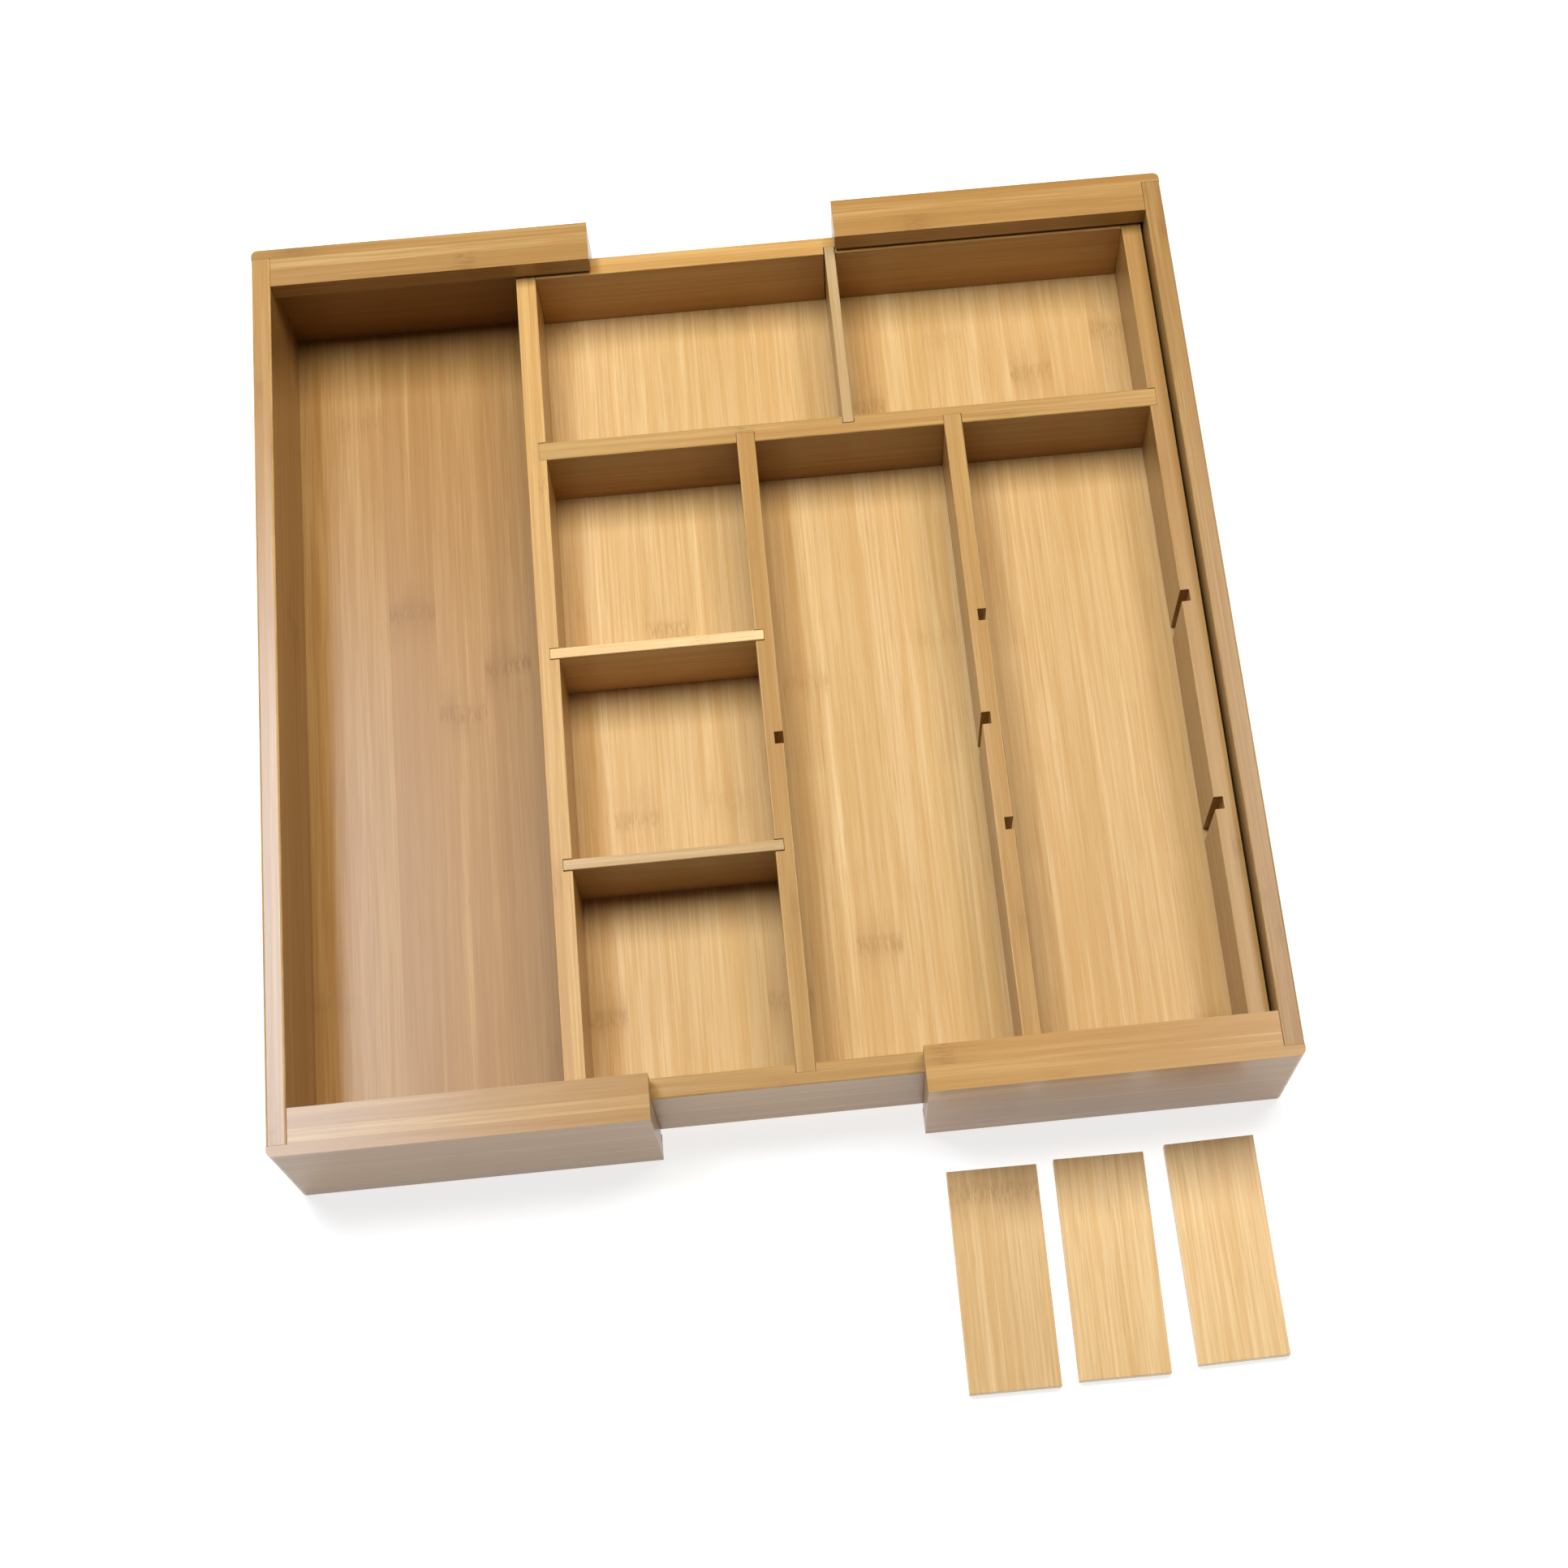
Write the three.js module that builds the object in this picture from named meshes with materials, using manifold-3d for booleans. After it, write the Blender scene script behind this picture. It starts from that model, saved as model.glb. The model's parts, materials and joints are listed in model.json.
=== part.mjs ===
// Expandable drawer organizer in laminated bamboo. A centre tray with fixed dividers stands between two
// U-shaped sliders, whose rails and floors run outside and under it. Six thin dividers lift out of slots:
// three stand in the tray, and three lie loose in front of it. Millimetres, +X right, +Y back, +Z up.

import * as THREE from 'three';
import { mergeVertices } from 'three/addons/utils/BufferGeometryUtils.js';
import Module from 'manifold-3d';

const wasm = await Module();
wasm.setup();

// ---------------------------------------------------------------- driving dimensions

const DEPTH = 445;                // front to back, over the slider rails
const GLUE_LINE = 0.1;            // gap between two glued faces
const CUT_PAST = 2;               // how far a cutter runs past the face it opens

// sliders
const SLIDER_HEIGHT = 70.4;
const SIDE_WALL = 8.9;
const RAIL_LIP = 20.5;            // rail thickness at its top, where the lip covers the tray's wall
const RAIL_WEB = 11.2;            // rail thickness below the lip
const LIP_UNDERSIDE = 60.2;
const CORNER_LAP = 4.8;           // skin of a rail or tray wall that laps over the end of its neighbour
const CORNER_RADIUS = 3;
const SLIDER_FLOOR_UNDERSIDE = 2.2;
const SLIDER_FLOOR_THICKNESS = 4;
const RAIL_SHORTFALL = 0.1;       // each closed rail ends this far from the middle of the tray
const DIVIDER_RELIEF = 1.25;      // the right back rail is this much shorter, to clear the back row's divider
const FLOOR_SHORTFALL = 1;        // a slider's floor ends this far inside its rails' ends
const LEFT_PULLED_OUT = 115.3;
const RIGHT_PULLED_OUT = 1.3;

// centre tray
const TRAY_INSET = 12;            // from the rails' outer faces to the tray's
const TRAY_UNDERSIDE = 6.8;
const TRAY_TOP = 58.2;
const TRAY_WALL = 9.4;
const TRAY_FLOOR_TOP = 18.4;
const TRAY_FLOOR_THICKNESS = 5;
const GROOVE = 4;                 // depth of the grooves that hold the floor panels
const COLUMNS = 3;
const COLUMN_WIDTH = 89.2;
const BACK_ROW_DEPTH = 89.9;
const CROSS_DIVIDER = 9.3;
const LONG_DIVIDER = 8.6;
const CROSS_HOUSING = 3.5;        // how far each fixed divider is let into the piece that holds it
const LONG_HOUSING_FRONT = 4;
const LONG_HOUSING_BACK = 5;

// removable dividers
const LOOSE_LENGTH = 97.3;
const LOOSE_THICKNESS = 5;
const LOOSE_HEIGHT = 40;
const SLOT_CLEARANCE = 0.4;       // on each side of a divider's thickness
const SLOT_END_CLEARANCE = 0.15;
const LYING_DIVIDERS = [
  { name: 'loose_divider_left', x: 27.9, y: -290.7, turn: -0.5 },
  { name: 'loose_divider_middle', x: 75.5, y: -289.9, turn: -0.6 },
  { name: 'loose_divider_right', x: 126.2, y: -287.8, turn: 0.75 },
];

// ---------------------------------------------------------------- values that follow from them

const HALF_DEPTH = DEPTH / 2;
const TRAY_HALF_DEPTH = HALF_DEPTH - TRAY_INSET;
const TRAY_INNER_WIDTH = COLUMNS * COLUMN_WIDTH + (COLUMNS - 1) * LONG_DIVIDER;
const TRAY_HALF_WIDTH = TRAY_INNER_WIDTH / 2 + TRAY_WALL;
const INNER_HALF_WIDTH = TRAY_INNER_WIDTH / 2;
const INNER_HALF_DEPTH = TRAY_HALF_DEPTH - TRAY_WALL;
const RAIL_LENGTH = TRAY_HALF_WIDTH + SIDE_WALL - RAIL_SHORTFALL;

const CROSS_BACK = INNER_HALF_DEPTH - BACK_ROW_DEPTH;
const CROSS_FRONT = CROSS_BACK - CROSS_DIVIDER;
const COLUMN_DEPTH = CROSS_FRONT + INNER_HALF_DEPTH;
const THIRD = (COLUMN_DEPTH - 2 * LOOSE_THICKNESS) / 3;
const REAR_SLOT = CROSS_FRONT - THIRD - LOOSE_THICKNESS / 2;
const FRONT_SLOT = -INNER_HALF_DEPTH + THIRD + LOOSE_THICKNESS / 2;
const MIDDLE_SLOT = (REAR_SLOT + FRONT_SLOT) / 2;
const SLOT_HALF_WIDTH = LOOSE_THICKNESS / 2 + SLOT_CLEARANCE;
const COLUMN_SLOT_DEPTH = (LOOSE_LENGTH - COLUMN_WIDTH) / 2 + SLOT_END_CLEARANCE;
const BACK_ROW_SLOT_DEPTH = (LOOSE_LENGTH - BACK_ROW_DEPTH) / 2 + SLOT_END_CLEARANCE;
const LONG_DIVIDER_OFFSET = (COLUMN_WIDTH + LONG_DIVIDER) / 2;

// ---------------------------------------------------------------- materials

function bamboo(colour, roughness) {
  return new THREE.MeshStandardMaterial({ color: colour, roughness, metalness: 0 });
}

const railBamboo = bamboo(0xd3a871, 0.5);
const trayBamboo = bamboo(0xd6ac74, 0.5);
const floorBamboo = bamboo(0xdcb27c, 0.45);
const looseBamboo = bamboo(0xe2bb86, 0.5);

// ---------------------------------------------------------------- shapes

function solid(geometry) {
  geometry.deleteAttribute('normal');
  geometry.deleteAttribute('uv');
  const merged = mergeVertices(geometry);
  const mesh = new wasm.Mesh({
    numProp: 3,
    vertProperties: new Float32Array(merged.attributes.position.array),
    triVerts: new Uint32Array(merged.index.array),
  });
  return new wasm.Manifold(mesh);
}

// a block between two values on each axis, in either order
function block(x, y, z) {
  const size = [x, y, z].map(([from, to]) => Math.abs(to - from));
  const middle = [x, y, z].map(([from, to]) => (from + to) / 2);
  const geometry = new THREE.BoxGeometry(...size);
  geometry.translate(...middle);
  return solid(geometry);
}

// a range of values about a middle
function about(middle, halfWidth) {
  return [middle - halfWidth, middle + halfWidth];
}

// a Y-Z outline drawn out along +X
function drawnAlongX(outline, length) {
  const shape = new THREE.Shape(outline.map(([y, z]) => new THREE.Vector2(y, z)));
  const geometry = new THREE.ExtrudeGeometry(shape, { depth: length, bevelEnabled: false });
  const shapeToWorld = new THREE.Matrix4().makeBasis(
    new THREE.Vector3(0, 1, 0),
    new THREE.Vector3(0, 0, 1),
    new THREE.Vector3(1, 0, 0),
  );
  geometry.applyMatrix4(shapeToWorld);
  return solid(geometry);
}

function cut(body, cutters) {
  return cutters.reduce((left, cutter) => left.subtract(cutter), body);
}

function piece(name, shape, material) {
  const { vertProperties, triVerts } = shape.getMesh();
  const geometry = new THREE.BufferGeometry();
  geometry.setAttribute('position', new THREE.BufferAttribute(vertProperties, 3));
  geometry.setIndex(new THREE.BufferAttribute(triVerts, 1));
  geometry.computeVertexNormals();
  const mesh = new THREE.Mesh(geometry, material);
  mesh.name = name;
  return mesh;
}

// ---------------------------------------------------------------- slider
// Drawn as the left one: the side wall's outer face is x = 0 and the rails run towards +X.
// The right slider is the same frame turned half round, so its far rail is the front one.

const SLIDER_FLOOR_TOP = SLIDER_FLOOR_UNDERSIDE + SLIDER_FLOOR_THICKNESS;
const SLIDER_GROOVE_Z = [SLIDER_FLOOR_UNDERSIDE - GLUE_LINE, SLIDER_FLOOR_TOP + GLUE_LINE];
const WEB_FACE = HALF_DEPTH - RAIL_WEB;

function sliderPlan() {
  const outline = new THREE.Shape();
  outline.moveTo(RAIL_LENGTH, -HALF_DEPTH);
  outline.lineTo(RAIL_LENGTH, HALF_DEPTH);
  outline.lineTo(CORNER_RADIUS, HALF_DEPTH);
  outline.absarc(CORNER_RADIUS, HALF_DEPTH - CORNER_RADIUS, CORNER_RADIUS, Math.PI / 2, Math.PI);
  outline.lineTo(0, CORNER_RADIUS - HALF_DEPTH);
  outline.absarc(CORNER_RADIUS, CORNER_RADIUS - HALF_DEPTH, CORNER_RADIUS, Math.PI, 1.5 * Math.PI);
  const geometry = new THREE.ExtrudeGeometry(outline, {
    depth: SLIDER_HEIGHT,
    bevelEnabled: false,
    curveSegments: 8,
  });
  return solid(geometry);
}

// end is 1 for the rail at the far end of the side wall and -1 for the one at the near end
function rail(end, length) {
  const inFromOuterFace = (distance) => end * (HALF_DEPTH - distance);
  const profile = [
    [inFromOuterFace(RAIL_WEB), 0],
    [inFromOuterFace(0), 0],
    [inFromOuterFace(0), SLIDER_HEIGHT],
    [inFromOuterFace(RAIL_LIP), SLIDER_HEIGHT],
    [inFromOuterFace(RAIL_LIP), LIP_UNDERSIDE],
    [inFromOuterFace(RAIL_WEB), LIP_UNDERSIDE],
  ];
  const sideWallHousing = block(
    [-CUT_PAST, SIDE_WALL + GLUE_LINE],
    [inFromOuterFace(CORNER_LAP), inFromOuterFace(RAIL_LIP + CUT_PAST)],
    [-CUT_PAST, SLIDER_HEIGHT + CUT_PAST],
  );
  const floorGroove = block(
    [-CUT_PAST, length + CUT_PAST],
    [inFromOuterFace(RAIL_WEB - GROOVE), inFromOuterFace(RAIL_WEB + CUT_PAST)],
    SLIDER_GROOVE_Z,
  );
  const straightRail = cut(drawnAlongX(profile, length), [sideWallHousing, floorGroove]);
  return straightRail.intersect(sliderPlan());
}

function sideWall() {
  const wall = block([0, SIDE_WALL], about(0, HALF_DEPTH - CORNER_LAP - GLUE_LINE), [0, SLIDER_HEIGHT]);
  const floorGroove = block([SIDE_WALL - GROOVE, SIDE_WALL + CUT_PAST], about(0, HALF_DEPTH), SLIDER_GROOVE_Z);
  return cut(wall, [floorGroove]);
}

function sliderFloor() {
  return block(
    [SIDE_WALL - GROOVE + GLUE_LINE, RAIL_LENGTH - FLOOR_SHORTFALL],
    about(0, WEB_FACE + GROOVE - GLUE_LINE),
    [SLIDER_FLOOR_UNDERSIDE, SLIDER_FLOOR_TOP],
  );
}

function slider(side, farName, nearName, nearLength = RAIL_LENGTH) {
  const group = new THREE.Group();
  group.add(piece(`${side}_side_wall`, sideWall(), railBamboo));
  group.add(piece(`${side}_${farName}_rail`, rail(1, RAIL_LENGTH), railBamboo));
  group.add(piece(`${side}_${nearName}_rail`, rail(-1, nearLength), railBamboo));
  group.add(piece(`${side}_slider_floor`, sliderFloor(), floorBamboo));
  return group;
}

// ---------------------------------------------------------------- centre tray

const TRAY_GROOVE_Z = [TRAY_FLOOR_TOP - TRAY_FLOOR_THICKNESS - GLUE_LINE, TRAY_FLOOR_TOP + GLUE_LINE];
const ABOVE_FLOOR = [TRAY_FLOOR_TOP, TRAY_TOP + CUT_PAST];
const WALL_Z = [TRAY_UNDERSIDE, TRAY_TOP];
const FIXED_DIVIDER_Z = [TRAY_FLOOR_TOP + GLUE_LINE, TRAY_TOP];

// the cut that holds one end of a removable divider, in a face at x that looks along direction (1 or -1)
function slotInFaceX(x, direction, y) {
  return block(
    [x - direction * COLUMN_SLOT_DEPTH, x + direction * CUT_PAST],
    about(y, SLOT_HALF_WIDTH),
    ABOVE_FLOOR,
  );
}

// the same for the back row's divider, in a face at y
function slotInFaceY(y, direction, x) {
  return block(
    about(x, SLOT_HALF_WIDTH),
    [y - direction * BACK_ROW_SLOT_DEPTH, y + direction * CUT_PAST],
    ABOVE_FLOOR,
  );
}

// side is -1 for the left wall and 1 for the right one
function traySideWall(side) {
  const innerFace = side * INNER_HALF_WIDTH;
  const wall = block(
    [innerFace, side * TRAY_HALF_WIDTH],
    about(0, TRAY_HALF_DEPTH - CORNER_LAP - GLUE_LINE),
    WALL_Z,
  );
  const floorGroove = block(
    [innerFace - side * CUT_PAST, innerFace + side * GROOVE],
    about(0, DEPTH),
    TRAY_GROOVE_Z,
  );
  const crossHousing = block(
    [innerFace - side * CUT_PAST, innerFace + side * CROSS_HOUSING],
    [CROSS_FRONT - GLUE_LINE, CROSS_BACK + GLUE_LINE],
    ABOVE_FLOOR,
  );
  const slots = [REAR_SLOT, FRONT_SLOT].map((y) => slotInFaceX(innerFace, -side, y));
  return cut(wall, [floorGroove, crossHousing, ...slots]);
}

// end is -1 for the front wall and 1 for the back one
function trayEndWall(end, cutters) {
  const outerFace = end * TRAY_HALF_DEPTH;
  const innerFace = end * INNER_HALF_DEPTH;
  const wall = block(about(0, TRAY_HALF_WIDTH), [innerFace, outerFace], WALL_Z);
  const sideWallHousings = [-1, 1].map((side) => block(
    [side * (INNER_HALF_WIDTH - GLUE_LINE), side * (TRAY_HALF_WIDTH + CUT_PAST)],
    [innerFace - end * CUT_PAST, outerFace - end * CORNER_LAP],
    [TRAY_UNDERSIDE - CUT_PAST, TRAY_TOP + CUT_PAST],
  ));
  const floorGroove = block(
    about(0, INNER_HALF_WIDTH + GROOVE),
    [innerFace - end * CUT_PAST, innerFace + end * GROOVE],
    TRAY_GROOVE_Z,
  );
  return cut(wall, [...sideWallHousings, floorGroove, ...cutters]);
}

function longDividerHousing(x, fromY, toY) {
  return block(about(x, LONG_DIVIDER / 2 + GLUE_LINE), [fromY, toY], ABOVE_FLOOR);
}

function trayFrontWall() {
  const housings = [-1, 1].map((side) => longDividerHousing(
    side * LONG_DIVIDER_OFFSET,
    -INNER_HALF_DEPTH - LONG_HOUSING_FRONT,
    -INNER_HALF_DEPTH + CUT_PAST,
  ));
  return trayEndWall(-1, housings);
}

function trayBackWall() {
  return trayEndWall(1, [slotInFaceY(INNER_HALF_DEPTH, -1, 0)]);
}

function trayFloor() {
  const letIn = GROOVE - GLUE_LINE;
  return block(
    about(0, INNER_HALF_WIDTH + letIn),
    about(0, INNER_HALF_DEPTH + letIn),
    [TRAY_FLOOR_TOP - TRAY_FLOOR_THICKNESS, TRAY_FLOOR_TOP],
  );
}

function crossDivider() {
  const divider = block(
    about(0, INNER_HALF_WIDTH + CROSS_HOUSING - GLUE_LINE),
    [CROSS_FRONT, CROSS_BACK],
    FIXED_DIVIDER_Z,
  );
  const housings = [-1, 1].map((side) => longDividerHousing(
    side * LONG_DIVIDER_OFFSET,
    CROSS_FRONT - CUT_PAST,
    CROSS_FRONT + LONG_HOUSING_BACK,
  ));
  return cut(divider, [...housings, slotInFaceY(CROSS_BACK, 1, 0)]);
}

// side is -1 for the left long divider and 1 for the right one
function longDivider(side) {
  const middle = side * LONG_DIVIDER_OFFSET;
  const divider = block(
    about(middle, LONG_DIVIDER / 2),
    [-INNER_HALF_DEPTH - LONG_HOUSING_FRONT + GLUE_LINE, CROSS_FRONT + LONG_HOUSING_BACK - GLUE_LINE],
    FIXED_DIVIDER_Z,
  );
  const outerColumnFace = middle + side * LONG_DIVIDER / 2;
  const middleColumnFace = middle - side * LONG_DIVIDER / 2;
  const slots = [
    slotInFaceX(outerColumnFace, side, REAR_SLOT),
    slotInFaceX(outerColumnFace, side, FRONT_SLOT),
    slotInFaceX(middleColumnFace, -side, MIDDLE_SLOT),
  ];
  return cut(divider, slots);
}

function tray() {
  const group = new THREE.Group();
  group.add(piece('tray_floor', trayFloor(), floorBamboo));
  group.add(piece('tray_back_wall', trayBackWall(), trayBamboo));
  group.add(piece('tray_front_wall', trayFrontWall(), trayBamboo));
  group.add(piece('tray_left_wall', traySideWall(-1), trayBamboo));
  group.add(piece('tray_right_wall', traySideWall(1), trayBamboo));
  group.add(piece('cross_divider', crossDivider(), trayBamboo));
  group.add(piece('long_divider_left', longDivider(-1), trayBamboo));
  group.add(piece('long_divider_right', longDivider(1), trayBamboo));
  return group;
}

// ---------------------------------------------------------------- removable dividers
// Drawn standing, with its length along X and the middle of its lower edge at the origin.

function removableDivider(name) {
  const shape = block(about(0, LOOSE_LENGTH / 2), about(0, LOOSE_THICKNESS / 2), [0, LOOSE_HEIGHT]);
  return piece(name, shape, looseBamboo);
}

function standingDivider(name, x, y, turn) {
  const divider = removableDivider(name);
  divider.position.set(x, y, TRAY_FLOOR_TOP + GLUE_LINE);
  divider.rotation.z = turn;
  return divider;
}

// laid on its side, with its length from front to back
function lyingDivider({ name, x, y, turn }) {
  const divider = removableDivider(name);
  divider.rotation.x = -Math.PI / 2;
  divider.position.set(0, -LOOSE_HEIGHT / 2, LOOSE_THICKNESS / 2);
  const placed = new THREE.Group();
  placed.add(divider);
  placed.rotation.z = Math.PI / 2 + THREE.MathUtils.degToRad(turn);
  placed.position.set(x, y, 0);
  return placed;
}

// ---------------------------------------------------------------- assembly

const leftColumn = -COLUMN_WIDTH - LONG_DIVIDER;
const backRow = (CROSS_BACK + INNER_HALF_DEPTH) / 2;

const leftSlider = slider('left', 'back', 'front');
leftSlider.position.x = -TRAY_HALF_WIDTH - SIDE_WALL - LEFT_PULLED_OUT;

const rightSlider = slider('right', 'front', 'back', RAIL_LENGTH - DIVIDER_RELIEF);
rightSlider.rotation.z = Math.PI;
rightSlider.position.x = TRAY_HALF_WIDTH + SIDE_WALL + RIGHT_PULLED_OUT;

const organizer = new THREE.Group();
organizer.add(tray());
organizer.add(leftSlider);
organizer.add(rightSlider);
organizer.add(standingDivider('back_row_divider', 0, backRow, Math.PI / 2));
organizer.add(standingDivider('left_column_rear_divider', leftColumn, REAR_SLOT, 0));
organizer.add(standingDivider('left_column_front_divider', leftColumn, FRONT_SLOT, 0));
LYING_DIVIDERS.forEach((divider) => organizer.add(lyingDivider(divider)));

// the origin is the middle of the whole footprint, on the surface that the organizer stands on
const footprint = new THREE.Box3().setFromObject(organizer);
organizer.position.x = -(footprint.min.x + footprint.max.x) / 2;
organizer.position.y = -(footprint.min.y + footprint.max.y) / 2;

export default organizer;
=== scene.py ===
"""An expandable bamboo drawer organizer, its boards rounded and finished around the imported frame.

Every board is made from its node of the frame. The glued joints stay tight and the free edges are rounded
over, except on the rails, whose corner edges lie so close together that Blender clamps the rounding to a few
hundredths of a millimetre. The grain, laminations and growth nodes follow each board's own length. Metres, in
the frame's axes.
"""

import json
import math

import bmesh
import bpy
import numpy as np
from bpy.props import FloatProperty, FloatVectorProperty, IntProperty, PointerProperty
from mathutils import Euler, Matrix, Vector
from mathutils.bvhtree import BVHTree

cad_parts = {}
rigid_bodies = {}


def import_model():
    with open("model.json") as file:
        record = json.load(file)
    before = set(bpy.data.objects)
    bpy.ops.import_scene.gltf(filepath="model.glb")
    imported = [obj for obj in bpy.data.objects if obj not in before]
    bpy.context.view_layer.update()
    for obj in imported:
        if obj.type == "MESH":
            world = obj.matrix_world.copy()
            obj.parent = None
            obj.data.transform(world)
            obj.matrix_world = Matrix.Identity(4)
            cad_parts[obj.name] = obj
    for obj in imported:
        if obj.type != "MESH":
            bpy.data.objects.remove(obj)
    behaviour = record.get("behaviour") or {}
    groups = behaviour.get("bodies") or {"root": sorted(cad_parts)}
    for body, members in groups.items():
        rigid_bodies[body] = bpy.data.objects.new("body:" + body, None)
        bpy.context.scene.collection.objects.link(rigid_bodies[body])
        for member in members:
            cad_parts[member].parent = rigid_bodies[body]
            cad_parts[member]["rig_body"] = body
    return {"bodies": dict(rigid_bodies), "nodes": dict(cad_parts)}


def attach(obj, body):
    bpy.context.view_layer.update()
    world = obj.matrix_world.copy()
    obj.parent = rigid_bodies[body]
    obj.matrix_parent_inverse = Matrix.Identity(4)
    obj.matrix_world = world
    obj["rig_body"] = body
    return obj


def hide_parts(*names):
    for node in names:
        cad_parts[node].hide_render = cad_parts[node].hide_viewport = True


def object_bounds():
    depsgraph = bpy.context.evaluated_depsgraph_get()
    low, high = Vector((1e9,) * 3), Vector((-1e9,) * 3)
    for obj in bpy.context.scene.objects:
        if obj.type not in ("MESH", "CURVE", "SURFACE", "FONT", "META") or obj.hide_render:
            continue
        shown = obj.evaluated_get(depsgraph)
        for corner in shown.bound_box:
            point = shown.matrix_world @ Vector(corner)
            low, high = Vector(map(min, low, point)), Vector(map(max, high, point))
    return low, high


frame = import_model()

bl_info = {
    "name": "Bamboo drawer organizer",
    "version": (1, 0, 0),
    "blender": (4, 5, 0),
    "location": "View3D > Sidebar > Organizer",
    "description": "Builds the boards of an expandable bamboo drawer organizer and a small studio for it",
    "category": "Object",
}

CAD_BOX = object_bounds()
MM = 0.001

# ---------------------------------------------------------------- what the frame holds

RAILS = ["left_back_rail", "left_front_rail", "right_back_rail", "right_front_rail"]
SIDE_WALLS = ["left_side_wall", "right_side_wall"]
SLIDER_FLOORS = ["left_slider_floor", "right_slider_floor"]
TRAY_FLOORS = ["tray_floor"]
TRAY_WALLS = ["tray_back_wall", "tray_front_wall", "tray_left_wall", "tray_right_wall"]
FIXED_DIVIDERS = ["cross_divider", "long_divider_left", "long_divider_right"]
STANDING_DIVIDERS = ["back_row_divider", "left_column_rear_divider", "left_column_front_divider"]
LOOSE_DIVIDERS = ["loose_divider_left", "loose_divider_middle", "loose_divider_right"]

# each board's brightness against the rest of its kind: partly the paler or deeper bamboo it is cut from,
# partly painted light: a painted sheen on the boards at the left and front, painted light on the loose
# dividers in front, and painted shade on the boards at the right and back
TONE_AND_PAINTED_LIGHT = {
    "left_side_wall": 1.03,
    "left_front_rail": 1.05,
    "right_front_rail": 1.2,
    "left_back_rail": 0.94,
    "right_side_wall": 0.88,
    "tray_back_wall": 1.22,
    "tray_left_wall": 1.2,
    "tray_right_wall": 0.92,
    "left_column_rear_divider": 1.15,
    "left_column_front_divider": 0.81,
    "back_row_divider": 0.71,
    "loose_divider_left": 1.07,
    "loose_divider_middle": 1.17,
    "loose_divider_right": 1.22,
}

# seeds that put a board's growth nodes where they belong, or leave it without one
SEEDS = {
    "left_slider_floor": 27166,
    "loose_divider_left": 212,
    "loose_divider_middle": 103,
    "loose_divider_right": 106,
}


# ---------------------------------------------------------------- settings

def length_property(name, description, default):
    return FloatProperty(
        name=name, description=description, default=default, min=0, unit="LENGTH", precision=5
    )


def colour_property(name, description, default):
    return FloatVectorProperty(
        name=name, description=description, default=default, size=3, subtype="COLOR", min=0, max=1
    )


def share_property(name, description, default):
    return FloatProperty(
        name=name, description=description, default=default, min=0, max=1, subtype="FACTOR"
    )


def brightness_property(name, description, default):
    return FloatProperty(name=name, description=description, default=default, min=0)


class BoardSettings(bpy.types.PropertyGroup):
    """How the boards are rounded over and laminated. A radius is what the bevel is asked for."""

    rail_round: length_property("Rail edges", "Radius along a slider rail's or side wall's length", 1.1 * MM)
    tray_round: length_property(
        "Tray edges", "Radius along a tray wall's or fixed divider's length", 0.8 * MM
    )
    divider_round: length_property(
        "Thin divider edges", "Radius along a removable divider's length", 0.5 * MM
    )
    end_round: length_property("Ends and slots", "Radius of the short edges at ends and slots", 0.3 * MM)
    joint_round: length_property("Glued edges", "Radius where two glued boards meet", 0.06 * MM)
    steps: IntProperty(
        name="Steps", description="Flat steps across each rounded edge", default=4, min=1, max=8
    )
    strip_width: length_property("Strip width", "Width of one bamboo strip", 21 * MM)
    divider_strip: length_property("Divider strip width", "Width of a removable divider's strip", 40 * MM)
    rail_layer: length_property("Rail layer", "Thickness of a rail's outer two layers", 5.6 * MM)
    node_spacing: length_property("Node spacing", "Distance between a strip's growth nodes", 0.36)


class FinishSettings(bpy.types.PropertyGroup):
    """The tones of the lacquered bamboo, each from a pale strip to a deep one."""

    rail_pale: colour_property(
        "Rail, pale", "Palest strip of the sliders' rails and walls", (0.58, 0.37, 0.14)
    )
    rail_deep: colour_property(
        "Rail, deep", "Deepest strip of the sliders' rails and walls", (0.38, 0.213, 0.058)
    )
    tray_pale: colour_property("Tray, pale", "Palest strip of the tray's walls", (0.57, 0.37, 0.136))
    tray_deep: colour_property("Tray, deep", "Deepest strip of the tray's walls", (0.43, 0.25, 0.072))
    floor_pale: colour_property("Tray floor, pale", "Palest strip of the tray's floor", (0.78, 0.57, 0.3))
    floor_deep: colour_property("Tray floor, deep", "Deepest strip of the tray's floor", (0.64, 0.435, 0.19))
    slider_floor_pale: colour_property(
        "Slider floor, pale", "Palest strip of a slider's floor", (0.55, 0.352, 0.136)
    )
    slider_floor_deep: colour_property(
        "Slider floor, deep", "Deepest strip of a slider's floor", (0.375, 0.212, 0.07)
    )
    divider_pale: colour_property("Divider, pale", "Palest removable divider", (0.82, 0.61, 0.325))
    divider_deep: colour_property("Divider, deep", "Deepest removable divider", (0.70, 0.485, 0.23))
    node_brown: colour_property("Growth node", "Brown of the growth nodes", (0.27, 0.13, 0.04))
    end_brown: colour_property("End grain", "Brown of the fibre bundles in the end grain", (0.22, 0.11, 0.04))
    roughness: share_property("Roughness", "Roughness of the satin lacquer", 0.5)
    coat: share_property("Coat", "Weight of the clear coat of rails, walls and dividers", 0.8)
    floor_coat: share_property("Floor coat", "Weight of the floors' clear coat", 0.42)
    coat_roughness: share_property("Coat roughness", "Roughness of the clear coat", 0.27)


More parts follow.
